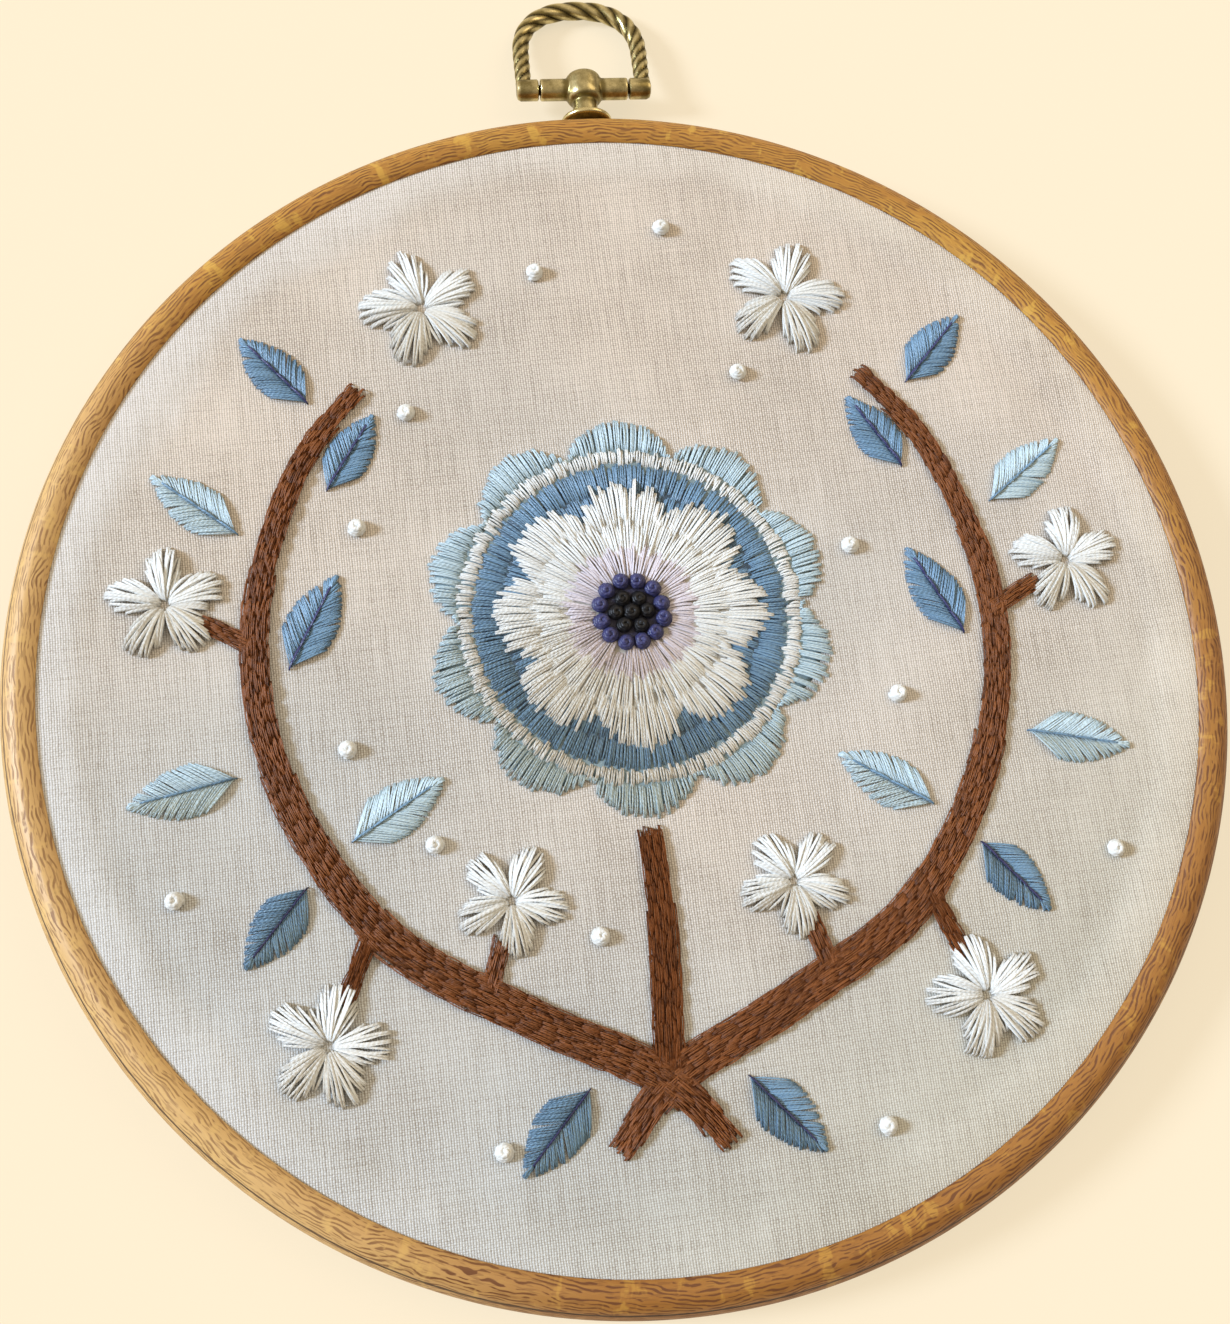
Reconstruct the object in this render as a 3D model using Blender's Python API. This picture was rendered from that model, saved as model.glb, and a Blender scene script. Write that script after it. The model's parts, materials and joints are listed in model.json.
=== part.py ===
# Hoop embroidery art: a stitched cloth held in a two-part hoop with a swinging brass hanger.
# Metres, +Z up. The hoop lies on its back with the stitched side up and the hanger towards +Y.
# The origin is on the surface, under the middle of the whole outline.
import math

import bmesh
import bpy
from mathutils import Matrix, Vector

MM = 0.001

# Driving dimensions of the hoop, in millimetres
CLOTH_SHOWN_R = 95.0
HOOP_OUTER_R = 101.4
HOOP_DEPTH = 11.7
CLOTH_TOP_Z = 10.0
CLOTH_THICK = 1.0
GAP = 0.3
INNER_HOOP_WIDTH = 7.6
CLOTH_SAG = 0.4
SKIRT_BOTTOM_Z = 7.0
TURN_R = 0.9

# Driving dimensions of the hanger, in millimetres
PIN_FROM_CENTRE = 109.0
PIN_Z = 5.0
BALL_R = 3.2
NECK_R = 1.85
FLANGE_R = 4.5
FLANGE_THICK = 1.0
BARREL_R = 1.9
BARREL_HALF = 8.0
PIN_R = 0.9
PIN_DEPTH = 3.0
BAIL_HALF_WIDTH = 10.9
BAIL_REACH = 20.85
BAIL_LEG_R = 1.4
BAIL_TOP_R = 1.75
BAIL_TWISTS = 4.5

# Derived places
SKIRT_OUT_R = CLOTH_SHOWN_R + 1.9
BORE_R = SKIRT_OUT_R + GAP
SKIRT_IN_R = SKIRT_OUT_R - CLOTH_THICK
INNER_OUT_R = SKIRT_IN_R - GAP
INNER_IN_R = INNER_OUT_R - INNER_HOOP_WIDTH
CLOTH_UNDER_Z = CLOTH_TOP_Z - CLOTH_THICK
BAIL_AXIS_REACH = BAIL_REACH - BAIL_TOP_R
BAIL_REST = math.asin((PIN_Z - BAIL_TOP_R) / BAIL_AXIS_REACH)
WHOLE_TOP_Y = PIN_FROM_CENTRE + BAIL_AXIS_REACH * math.cos(BAIL_REST) + BAIL_TOP_R
HOOP_Y = (HOOP_OUTER_R - WHOLE_TOP_Y) / 2

# The stitched design, in millimetres from the hoop's centre, +y towards the hanger
STITCH_Z = CLOTH_TOP_Z + GAP
BLOOM = {"x": 0.0, "y": 8.0, "outer_r": 34.0, "inner_r": 23.0, "centre_r": 7.0}
# One stem of the wreath: x, y and the stem's width there; the other stem is its mirror image
STEM = [(-9, -77, 3.6), (1, -66, 5.6), (20, -56, 6.2), (42, -42, 5.8), (57, -18, 5.0), (61, 8, 4.4),
        (54, 34, 3.8), (42.5, 50, 3.0)]
STALK = [(0, -26.9, 4.2), (0.8, -44, 4.6), (0, -62, 5.0)]
# White blossoms on one side: x, y, radius
BLOSSOMS = [(31.5, 64.0, 10.5), (75.0, 13.5, 9.4), (51.5, -57.5, 9.6), (22.5, -37.5, 8.8)]
# Leaves on one side: x and y of the root, direction in degrees, length, half width, colour
LEAVES = [(64.5, -15.5, -12, 17, 4.2, "ice"), (54.0, -33.5, -50, 15, 4.0, "denim"),
          (46.5, -26.5, 148, 17, 4.2, "ice"), (55.5, 2.0, 118, 17, 4.2, "denim"),
          (63.5, 25.0, 38, 17, 4.0, "ice"), (48.5, 32.0, 122, 15, 3.8, "denim"),
          (51.5, 47.5, 48, 16, 4.0, "denim"), (12.5, -67.0, -48, 16, 4.2, "denim")]
# Loose knots: x, y
KNOTS = [(-12, 70), (11, 78), (-44, 25), (43, -8), (-47, -12), (38, 18), (-35, 45), (22, 50),
         (-34, -28), (-74, -34), (76, -36), (-26, -75), (33, -76), (-9, -44)]

COLOURS = {
    "woodgrain": ((0.50, 0.27, 0.07), 0.42, 0.0), "resin": ((0.72, 0.66, 0.55), 0.5, 0.0),
    "linen": ((0.66, 0.61, 0.54), 0.9, 0.0), "brass": ((0.32, 0.24, 0.10), 0.35, 1.0),
    "white": ((0.86, 0.86, 0.84), 0.6, 0.0), "ice": ((0.33, 0.46, 0.52), 0.6, 0.0),
    "denim": ((0.10, 0.22, 0.34), 0.6, 0.0), "navy": ((0.03, 0.035, 0.13), 0.6, 0.0),
    "brown": ((0.15, 0.045, 0.015), 0.65, 0.0),
}


def clear_scene():
    for old in list(bpy.data.objects):
        bpy.data.objects.remove(old, do_unlink=True)


def finish_for(name):
    """The Principled material of that colour, made once."""
    found = bpy.data.materials.get(name)
    if found:
        return found
    colour, roughness, metallic = COLOURS[name]
    made = bpy.data.materials.new(name)
    made.use_nodes = True
    shader = made.node_tree.nodes["Principled BSDF"]
    shader.inputs["Base Color"].default_value = (*colour, 1)
    shader.inputs["Roughness"].default_value = roughness
    shader.inputs["Metallic"].default_value = metallic
    return made


def add_object(name, mesh, colour, place=None, smooth=35):
    """Scales a mesh drawn in millimetres to metres and puts it in the scene."""
    mesh.transform(Matrix.Scale(MM, 4))
    if smooth:
        mesh.shade_smooth()
        mesh.set_sharp_from_angle(angle=math.radians(smooth))
    thing = bpy.data.objects.new(name, mesh)
    thing.data.materials.append(finish_for(colour))
    bpy.context.scene.collection.objects.link(thing)
    if place is not None:
        thing.matrix_world = place
    return thing


def mesh_of(bm, name):
    bmesh.ops.remove_doubles(bm, verts=bm.verts, dist=1e-5)
    bmesh.ops.recalc_face_normals(bm, faces=bm.faces)
    mesh = bpy.data.meshes.new(name)
    bm.to_mesh(mesh)
    bm.free()
    return mesh


def turned(name, profile, steps, closed, axis="Z"):
    """A profile of (radius, height) points spun about an axis, in millimetres."""
    bm = bmesh.new()
    if axis == "Z":
        verts = [bm.verts.new((r, 0, h)) for r, h in profile]
        about = (0, 0, 1)
    elif axis == "Y":
        verts = [bm.verts.new((r, h, 0)) for r, h in profile]
        about = (0, 1, 0)
    else:
        verts = [bm.verts.new((h, r, 0)) for r, h in profile]
        about = (1, 0, 0)
    edges = [bm.edges.new(pair) for pair in zip(verts, verts[1:])]
    if closed:
        edges.append(bm.edges.new((verts[-1], verts[0])))
    bmesh.ops.spin(bm, geom=verts + edges, cent=(0, 0, 0), axis=about, dvec=(0, 0, 0),
                   angle=2 * math.pi, steps=steps, use_merge=True, use_duplicate=False)
    return mesh_of(bm, name)


def smooth_line(points, per_span):
    """A curve through the points (Catmull-Rom), each with as many numbers as the table has columns."""
    ends = [points[0], *points, points[-1]]
    line = []
    for i in range(1, len(ends) - 2):
        p0, p1, p2, p3 = (Vector(ends[i + k]) for k in (-1, 0, 1, 2))
        for step in range(per_span):
            t = step / per_span
            line.append(0.5 * (2 * p1 + (p2 - p0) * t + (2 * p0 - 5 * p1 + 4 * p2 - p3) * t * t
                               + (3 * p1 - p0 - 3 * p2 + p3) * t * t * t))
    line.append(Vector(points[-1]))
    return line


def at_hoop(x=0.0, y=0.0, z=0.0):
    """A place in metres from a place in millimetres, measured from the hoop's centre."""
    return Matrix.Translation(Vector((x, y + HOOP_Y, z)) * MM)


# Hoop

def build_outer_hoop():
    """The woodgrain ring: a rounded moulding with a lip that laps over the cloth's edge."""
    lip_under_z = CLOTH_TOP_Z + GAP
    edge, top = HOOP_OUTER_R, HOOP_DEPTH
    profile = [
        (CLOTH_SHOWN_R, lip_under_z), (CLOTH_SHOWN_R, top - 0.8), (CLOTH_SHOWN_R + 0.7, top - 0.2),
        (CLOTH_SHOWN_R + 1.8, top), (edge - 3.2, top - 0.4), (edge - 1.9, top - 1.4),
        (edge - 0.9, top - 2.8), (edge - 0.2, top - 4.7), (edge, top - 6.7), (edge, top - 9.1),
        (edge - 0.2, 0.8), (edge - 0.8, 0.0), (BORE_R, 0.0), (BORE_R, lip_under_z),
    ]
    add_object("outer_hoop", turned("outer_hoop", profile, 80, True), "woodgrain", at_hoop())


def build_inner_hoop():
    """The plain ring under the cloth, whose width shows as a faint ledge in the cloth."""
    top = CLOTH_UNDER_Z - GAP
    profile = [(INNER_OUT_R, 0.0), (INNER_OUT_R, top - TURN_R), (INNER_OUT_R - TURN_R, top),
               (INNER_IN_R + 0.6, top), (INNER_IN_R, top - 0.6), (INNER_IN_R, 0.0)]
    add_object("inner_hoop", turned("inner_hoop", profile, 72, True), "resin", at_hoop())


def build_cloth():
    """One disc of cloth, drawn tight over the inner hoop and turned down between the two hoops."""
    sag = CLOTH_SAG
    flat_r = INNER_IN_R - 2.5
    profile = [
        (0.0, CLOTH_TOP_Z - sag), (flat_r, CLOTH_TOP_Z - sag), (INNER_IN_R + 0.5, CLOTH_TOP_Z),
        (SKIRT_OUT_R - TURN_R, CLOTH_TOP_Z), (SKIRT_OUT_R - 0.25, CLOTH_TOP_Z - 0.25),
        (SKIRT_OUT_R, CLOTH_TOP_Z - TURN_R), (SKIRT_OUT_R, SKIRT_BOTTOM_Z), (SKIRT_IN_R, SKIRT_BOTTOM_Z),
        (SKIRT_IN_R, CLOTH_UNDER_Z - 0.4), (SKIRT_IN_R - 0.4, CLOTH_UNDER_Z),
        (INNER_IN_R + 0.2, CLOTH_UNDER_Z), (flat_r, CLOTH_UNDER_Z - sag), (0.0, CLOTH_UNDER_Z - sag),
    ]
    add_object("embroidered_cloth", turned("embroidered_cloth", profile, 72, False), "linen", at_hoop())


# Hanger

def joined(name, pieces, cutters=()):
    """Booleans applied one after another to the first piece; the rest are removed."""
    first = pieces[0]
    for thing, way in [(p, "UNION") for p in pieces[1:]] + [(c, "DIFFERENCE") for c in cutters]:
        change = first.modifiers.new(way.lower(), "BOOLEAN")
        change.operation = way
        change.object = thing
        change.solver = "EXACT"
    bpy.context.view_layer.update()
    mesh = bpy.data.meshes.new_from_object(first.evaluated_get(bpy.context.evaluated_depsgraph_get()))
    mesh.name = name
    for thing in [*pieces, *cutters]:
        bpy.data.objects.remove(thing, do_unlink=True)
    return mesh


def loose(mesh):
    """An object that only serves a Boolean, drawn in millimetres at the origin."""
    thing = bpy.data.objects.new(mesh.name, mesh)
    bpy.context.scene.collection.objects.link(thing)
    return thing


def rod(name, radius, start, end, steps):
    """A plain rod along X."""
    profile = [(0, start), (radius, start), (radius, end), (0, end)]
    return loose(turned(name, profile, steps, False, "X"))


def build_fitting():
    """Flange, neck, ball and cross barrel in one casting; its middle is the pin's axis."""
    seat = HOOP_OUTER_R + GAP - PIN_FROM_CENTRE
    profile = [(0, seat), (FLANGE_R, seat), (FLANGE_R, seat + 0.4), (FLANGE_R - 0.5, seat + FLANGE_THICK),
               (NECK_R + 0.5, seat + FLANGE_THICK + 0.2), (NECK_R, seat + FLANGE_THICK + 0.7),
               (NECK_R, -BALL_R * 0.82)]
    for step in range(7):
        turn = math.radians(-42 + step * 22)
        profile.append((BALL_R * math.cos(turn), BALL_R * math.sin(turn)))
    profile.append((0, BALL_R))
    body = loose(turned("neck", profile, 24, False, "Y"))
    barrel = rod("barrel", BARREL_R, -BARREL_HALF, BARREL_HALF, 20)
    hole = PIN_R + GAP
    ends = [rod("hole", hole, side * (BARREL_HALF - PIN_DEPTH - GAP), side * (BARREL_HALF + 1), 12)
            for side in (-1, 1)]
    mesh = joined("hanger_fitting", [body, barrel], ends)
    add_object("hanger_fitting", mesh, "brass", at_hoop(y=PIN_FROM_CENTRE, z=PIN_Z))


def bail_line():
    """The D's centreline from the left corner to the right one, with the tube's radius at each point."""
    half, reach = BAIL_HALF_WIDTH, BAIL_AXIS_REACH
    corner = 0.0
    spring = reach * 0.45
    line = [Vector((-half, corner + spring * k / 4, 0)) for k in range(4)]
    turns = 22
    for k in range(turns + 1):
        a = math.pi * (1 - k / turns)
        x = half * math.copysign(abs(math.cos(a)) ** 0.86, math.cos(a))
        y = spring + (reach - spring) * abs(math.sin(a)) ** 0.86
        line.append(Vector((x, y, 0)))
    line += [Vector((half, spring * k / 4, 0)) for k in (3, 2, 1, 0)]
    return line


def build_bail():
    """The rope-twisted D on its two short stubs, whose pins turn inside the barrel."""
    line = bail_line()
    sides = 12
    length = [0.0]
    for a, b in zip(line, line[1:]):
        length.append(length[-1] + (b - a).length)
    bm = bmesh.new()
    before = None
    for i, point in enumerate(line):
        ahead = (line[min(i + 1, len(line) - 1)] - line[max(i - 1, 0)]).normalized()
        across = Vector((ahead.y, -ahead.x, 0))
        share = length[i] / length[-1]
        radius = BAIL_LEG_R + (BAIL_TOP_R - BAIL_LEG_R) * math.sin(math.pi * share)
        ring = []
        for k in range(sides):
            a = 2 * math.pi * k / sides
            lobes = 1 - 0.13 * (0.5 - 0.5 * math.cos(4 * (a + 2 * math.pi * BAIL_TWISTS * share / 2)))
            r = radius * lobes
            ring.append(bm.verts.new(point + across * (r * math.cos(a)) + Vector((0, 0, r * math.sin(a)))))
        edges = [bm.edges.new((ring[k], ring[(k + 1) % sides])) for k in range(sides)]
        if before is None:
            bm.faces.new(ring)
        else:
            bmesh.ops.bridge_loops(bm, edges=before + edges)
        before = edges
    bm.faces.new(ring)
    rope = loose(mesh_of(bm, "rope"))
    stub_in = BARREL_HALF + GAP
    stubs = []
    for side in (-1, 1):
        stubs.append(rod("stub", BARREL_R, side * stub_in, side * (BAIL_HALF_WIDTH + BAIL_LEG_R + 0.1), 20))
        stubs.append(rod("pin", PIN_R, side * (BARREL_HALF - PIN_DEPTH), side * (stub_in + 1), 12))
    mesh = joined("hanger_bail", [rope, *stubs])
    place = at_hoop(y=PIN_FROM_CENTRE, z=PIN_Z) @ Matrix.Rotation(-BAIL_REST, 4, "X")
    add_object("hanger_bail", mesh, "brass", place)


# Stitched motifs: each a low padded solid of the thread's own outline

def pad(name, outline, levels, colour, place):
    """An outline raised in levels of (share of its size, height), closed by its flat top."""
    bm = bmesh.new()
    face = bm.faces.new([bm.verts.new((x, y, 0)) for x, y in outline])
    before = (1.0, 0.0)
    for share, height in levels:
        grown = bmesh.ops.extrude_face_region(bm, geom=[face])["geom"]
        verts = [g for g in grown if isinstance(g, bmesh.types.BMVert)]
        top = next(g for g in grown if isinstance(g, bmesh.types.BMFace))
        if before[1] > 0:
            bm.faces.remove(face)
        bmesh.ops.scale(bm, verts=verts, vec=(share / before[0],) * 2 + (1,))
        bmesh.ops.translate(bm, verts=verts, vec=(0, 0, height - before[1]))
        before = (share, height)
        face = top
    bmesh.ops.triangulate(bm, faces=[f for f in bm.faces if len(f.verts) > 4])
    add_object(name, mesh_of(bm, name), colour, place)


def petal_outline(radius, petals, notch, per_petal, turn=0.0):
    """A round flower's outline: petals between notches that come in to a share of the radius."""
    outline = []
    for k in range(petals * per_petal):
        a = 2 * math.pi * k / (petals * per_petal)
        swell = abs(math.sin(petals * a / 2)) ** 0.55
        r = radius * (notch + (1 - notch) * swell)
        outline.append((r * math.cos(a + turn), r * math.sin(a + turn)))
    return outline


def leaf_outline(length, half_width):
    """A pointed leaf from its root at the origin along +X, about its own middle."""
    side = [(length * s, half_width * math.sin(math.pi * s ** 0.85) ** 0.8) for s in (0.12, 0.3, 0.5, 0.7, 0.88)]
    outline = [(0, 0), *[(x, -y) for x, y in side], (length, 0), *[(x, y) for x, y in reversed(side)]]
    return [(x - length / 2, y) for x, y in outline]


def build_bloom():
    layer = 0.7
    middle = at_hoop(BLOOM["x"], BLOOM["y"], STITCH_Z - CLOTH_SAG)
    upper = Matrix.Translation((0, 0, (layer + GAP) * MM))
    pad("bloom_outer_petals", petal_outline(BLOOM["outer_r"], 10, 0.8, 8), [(1, 0.4), (0.93, layer)],
        "ice", middle)
    pad("bloom_inner_petals", petal_outline(BLOOM["inner_r"], 8, 0.74, 8, math.pi / 8),
        [(1, 0.4), (0.9, layer)], "white", middle @ upper)
    pad("bloom_centre", petal_outline(BLOOM["centre_r"], 1, 1.0, 24), [(1, 0.5), (0.7, 1.0)],
        "navy", middle @ upper @ upper)


def build_blossoms():
    for side, word in ((1, "right"), (-1, "left")):
        for number, (x, y, radius) in enumerate(BLOSSOMS, 1):
            turn = math.radians(90 + 17 * number * side)
            pad(f"blossom_{word}_{number}", petal_outline(radius, 5, 0.42, 6, turn),
                [(1, 0.4), (0.8, 0.9)], "white", at_hoop(side * x, y, STITCH_Z - CLOTH_SAG))


def build_leaves():
    for side, word in ((1, "right"), (-1, "left")):
        for number, (x, y, degrees, length, half_width, colour) in enumerate(LEAVES, 1):
            a = math.radians(degrees if side > 0 else 180 - degrees)
            middle = at_hoop(side * x + math.cos(a) * length / 2, y + math.sin(a) * length / 2,
                             STITCH_Z - CLOTH_SAG)
            pad(f"leaf_{word}_{number}", leaf_outline(length, half_width), [(1, 0.35), (0.72, 0.8)],
                colour, middle @ Matrix.Rotation(a, 4, "Z"))


def stem_tube(name, points, mirror, lift):
    """A stem as a curve whose radius follows the table, lifted so that no two crossing ones are level."""
    line = smooth_line(points, 3)
    curve = bpy.data.curves.new(name, "CURVE")
    curve.dimensions = "3D"
    curve.bevel_depth = 0.5
    curve.bevel_resolution = 1
    curve.use_fill_caps = True
    spline = curve.splines.new("POLY")
    spline.points.add(len(line) - 1)
    for point, (x, y, width) in zip(spline.points, line):
        point.co = (mirror * x, y, lift, 1)
        point.radius = width
    thing = bpy.data.objects.new(name, curve)
    bpy.context.scene.collection.objects.link(thing)
    bpy.context.view_layer.update()
    mesh = bpy.data.meshes.new_from_object(thing.evaluated_get(bpy.context.evaluated_depsgraph_get()))
    bpy.data.objects.remove(thing, do_unlink=True)
    bm = bmesh.new()
    bm.from_mesh(mesh)
    return loose(mesh_of(bm, name))


def twigs():
    """A short side twig from the stem towards each blossom, ending at the blossom's edge."""
    found = []
    roots = [None, (60, 5), (44, -40), (27, -52)]
    for root, (x, y, radius) in zip(roots, BLOSSOMS):
        if root:
            way = Vector((x - root[0], y - root[1]))
            reach = way.length - radius * 0.95 - 0.9
            end = Vector(root) + way.normalized() * reach
            found.append([(*root, 3.0), (*((Vector(root) + end) / 2), 2.8), (*end, 2.4)])
    return found


def build_stems():
    """All the brown stitching is one connected spray, whose stalk ends just short of the bloom."""
    tubes = [stem_tube("stem", STEM, 1, 0), stem_tube("stem", STEM, -1, 0.37), stem_tube("stalk", STALK, 1, 0.71)]
    for points in twigs():
        tubes += [stem_tube("twig", points, side, 0.2) for side in (1, -1)]
    mesh = joined("stems", tubes)
    flatten = 0.24
    mesh.transform(Matrix.Diagonal((1, 1, flatten, 1)))
    highest = 6.2 * flatten / 2
    add_object("stems", mesh, "brown", at_hoop(z=STITCH_Z - CLOTH_SAG + highest))


def build_knots():
    for number, (x, y) in enumerate(KNOTS, 1):
        bm = bmesh.new()
        bmesh.ops.create_uvsphere(bm, u_segments=10, v_segments=6, radius=1.7)
        bmesh.ops.scale(bm, verts=bm.verts, vec=(1, 1, 0.62))
        add_object(f"knot_{number}", mesh_of(bm, f"knot_{number}"), "white",
                   at_hoop(x, y, STITCH_Z - CLOTH_SAG + 1.7 * 0.62))


def main():
    clear_scene()
    build_outer_hoop()
    build_inner_hoop()
    build_cloth()
    build_fitting()
    build_bail()
    build_bloom()
    build_blossoms()
    build_leaves()
    build_stems()
    build_knots()


main()
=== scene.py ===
import json
import math

import bmesh
import bpy
import numpy as np
from mathutils import Matrix, Vector


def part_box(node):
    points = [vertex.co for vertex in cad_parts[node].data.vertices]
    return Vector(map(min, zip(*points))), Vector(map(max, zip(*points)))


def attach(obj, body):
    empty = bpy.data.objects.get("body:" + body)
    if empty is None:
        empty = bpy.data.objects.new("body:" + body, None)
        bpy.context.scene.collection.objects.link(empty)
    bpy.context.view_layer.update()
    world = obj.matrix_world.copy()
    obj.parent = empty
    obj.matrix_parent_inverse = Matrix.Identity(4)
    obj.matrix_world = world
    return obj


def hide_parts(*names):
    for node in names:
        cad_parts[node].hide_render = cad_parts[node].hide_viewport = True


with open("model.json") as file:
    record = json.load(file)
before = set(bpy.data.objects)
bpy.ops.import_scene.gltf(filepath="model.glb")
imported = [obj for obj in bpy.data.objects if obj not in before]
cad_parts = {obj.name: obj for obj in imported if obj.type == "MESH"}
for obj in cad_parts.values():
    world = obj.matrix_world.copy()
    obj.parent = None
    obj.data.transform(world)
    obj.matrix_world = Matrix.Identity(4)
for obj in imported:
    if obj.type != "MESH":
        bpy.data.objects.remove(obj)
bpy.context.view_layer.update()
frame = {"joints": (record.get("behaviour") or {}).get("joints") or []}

# Lengths in the dictionaries are in mm; the frame and Blender are in metres
mm = 0.001
(hoopLow, hoopHigh), (clothLow, clothHigh), (innerLow, innerHigh) = (
    [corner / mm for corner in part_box(node)] for node in ("outer_hoop", "embroidered_cloth", "inner_hoop"))
pinPlace = Vector(frame["joints"][0]["pos_m"]) / mm

hoopY = (hoopLow.y + hoopHigh.y) / 2
hoopEdge = (hoopHigh.x - hoopLow.x) / 2
hoopTop = hoopHigh.z
clothTop = clothHigh.z
clothOuter = (clothHigh.x - clothLow.x) / 2
clothSag = 0.4
stitchFloor = clothTop - clothSag
rng = np.random.default_rng(11)


# Shader maths: a socket that takes part in plain arithmetic

class Wire:
    def __init__(self, tree, socket=None):
        self.tree = tree
        self.socket = socket

    # any node: its type, its settings, then the values or wires of its sockets
    def node(self, kind, settings=None, inputs=None, out=0):
        made = self.tree.nodes.new(kind)
        for key, value in (settings or {}).items():
            setattr(made, key, value)
        for key, value in (inputs or {}).items():
            if isinstance(value, Wire):
                self.tree.links.new(value.socket, made.inputs[key])
            else:
                made.inputs[key].default_value = value
        return Wire(self.tree, made.outputs[out])

    def math(self, operation, first, second=0.0):
        return self.node("ShaderNodeMath", {"operation": operation}, {0: first, 1: second})

    def __add__(self, other):
        return self.math("ADD", self, other)

    __radd__ = __add__

    def __sub__(self, other):
        return self.math("SUBTRACT", self, other)

    def __rsub__(self, other):
        return self.math("SUBTRACT", other, self)

    def __mul__(self, other):
        return self.math("MULTIPLY", self, other)

    def __truediv__(self, other):
        return self.math("DIVIDE", self, other)


def newMaterial(name):
    material = bpy.data.materials.new(name)
    material.use_nodes = True
    return material, Wire(material.node_tree), material.node_tree.nodes["Principled BSDF"]


def plug(wire, shader, socket):
    wire.tree.links.new(wire.socket, shader.inputs[socket])


# values that don't vary are set on the sockets themselves
def fixed(shader, values):
    for socket, value in values.items():
        shader.inputs[socket].default_value = value


def step(wire, value, low, high):
    return wire.node("ShaderNodeMapRange", {"interpolation_type": "SMOOTHSTEP"},
                     {"Value": value, "From Min": low, "From Max": high})


def mixColour(wire, share, first, second):
    first, second = ((*c, 1) if isinstance(c, tuple) else c for c in (first, second))
    return wire.node("ShaderNodeMix", {"data_type": "RGBA"}, {0: share, 6: first, 7: second}, 2)


def combined(wire, x, y, z=0.0):
    return wire.node("ShaderNodeCombineXYZ", None, {"X": x, "Y": y, "Z": z})


def noise(wire, vector, scale, detail=2.0, roughness=0.5):
    return wire.node("ShaderNodeTexNoise", None,
                     {"Vector": vector, "Scale": scale, "Detail": detail, "Roughness": roughness})


def bumped(wire, shader, height, strength, distance):
    values = {"Height": height, "Strength": strength, "Distance": distance * mm}
    plug(wire.node("ShaderNodeBump", None, values), shader, "Normal")


# Object coordinates counted in millimetres from the hoop's middle, turned by an angle
def inMillimetres(wire, turn=0.0):
    return wire.node("ShaderNodeMapping", None, {
        "Vector": wire.node("ShaderNodeTexCoord", None, None, 3), "Scale": (1 / mm,) * 3,
        "Location": (0, -hoopY, 0), "Rotation": (0, 0, math.radians(turn))})


def axes(wire, vector):
    split = wire.tree.nodes.new("ShaderNodeSeparateXYZ")
    wire.tree.links.new(vector.socket, split.inputs[0])
    return [Wire(wire.tree, split.outputs[i]) for i in range(3)]


# Finished pieces: millimetre meshes become metre meshes with their place in the mesh

def placed(name, data):
    thing = bpy.data.objects.new(name, data)
    bpy.context.scene.collection.objects.link(thing)
    return thing


def showPiece(name, mesh, material, body, slotName, *nodes):
    mesh.transform(Matrix.Scale(mm, 4))
    mesh.materials.clear()
    mesh.materials.append(material)
    piece = placed(name, mesh)
    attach(piece, body)
    if nodes:
        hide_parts(*nodes)
    return piece


def meshFrom(bm, name, recalculate=True):
    if recalculate:
        bmesh.ops.remove_doubles(bm, verts=bm.verts, dist=1e-4)
        bmesh.ops.recalc_face_normals(bm, faces=bm.faces)
    mesh = bpy.data.meshes.new(name)
    bm.to_mesh(mesh)
    bm.free()
    return mesh


def vertsOf(grown):
    return [g for g in grown["geom"] if isinstance(g, bmesh.types.BMVert)]


def meshPlaces(mesh):
    places = np.zeros(len(mesh.vertices) * 3)
    mesh.vertices.foreach_get("co", places)
    return places.reshape(-1, 3)


def spinProfile(bm, geometry, axis, steps):
    bmesh.ops.spin(bm, geom=geometry, cent=(0, 0, 0), axis=axis, dvec=(0, 0, 0),
                   angle=2 * math.pi, steps=steps, use_merge=True, use_duplicate=False)


# a ring from a closed profile of radii and heights, with creases from an angle up
def ringMesh(name, profile, steps, crease):
    bm = bmesh.new()
    verts = [bm.verts.new((0, r, h)) for r, h in profile]
    edges = [bm.edges.new(pair) for pair in zip(verts, verts[1:] + verts[:1])]
    spinProfile(bm, verts + edges, (0, 0, 1), steps)
    mesh = meshFrom(bm, name)
    mesh.transform(Matrix.Translation((0, hoopY, 0)))
    mesh.shade_smooth()
    mesh.set_sharp_from_angle(angle=math.radians(crease))
    return mesh


# a smooth curve through the points
def catmull(points, perSpan):
    points = [np.array(p, float) for p in points]
    last = len(points) - 1
    line = []
    for i in range(last):
        p0, p1, p2, p3 = (points[min(max(i + k, 0), last)] for k in (-1, 0, 1, 2))
        for part in range(perSpan):
            t = part / perSpan
            line.append(0.5 * (2 * p1 + (p2 - p0) * t + (2 * p0 - 5 * p1 + 4 * p2 - p3) * t * t
                               + (3 * p1 - p0 - 3 * p2 + p3) * t ** 3))
    return np.array(line + [points[-1]])


def distances(line):
    return np.concatenate([[0], np.cumsum(np.hypot(*np.diff(line, axis=0).T))])


def polar(radius, angle):
    return np.column_stack([radius * np.cos(angle), radius * np.sin(angle)])


def unit(vectors):
    return vectors / np.maximum(np.linalg.norm(vectors, axis=-1, keepdims=True), 1e-9)


# Outer hoop: a satin plastic moulding with a printed oak grain

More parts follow.
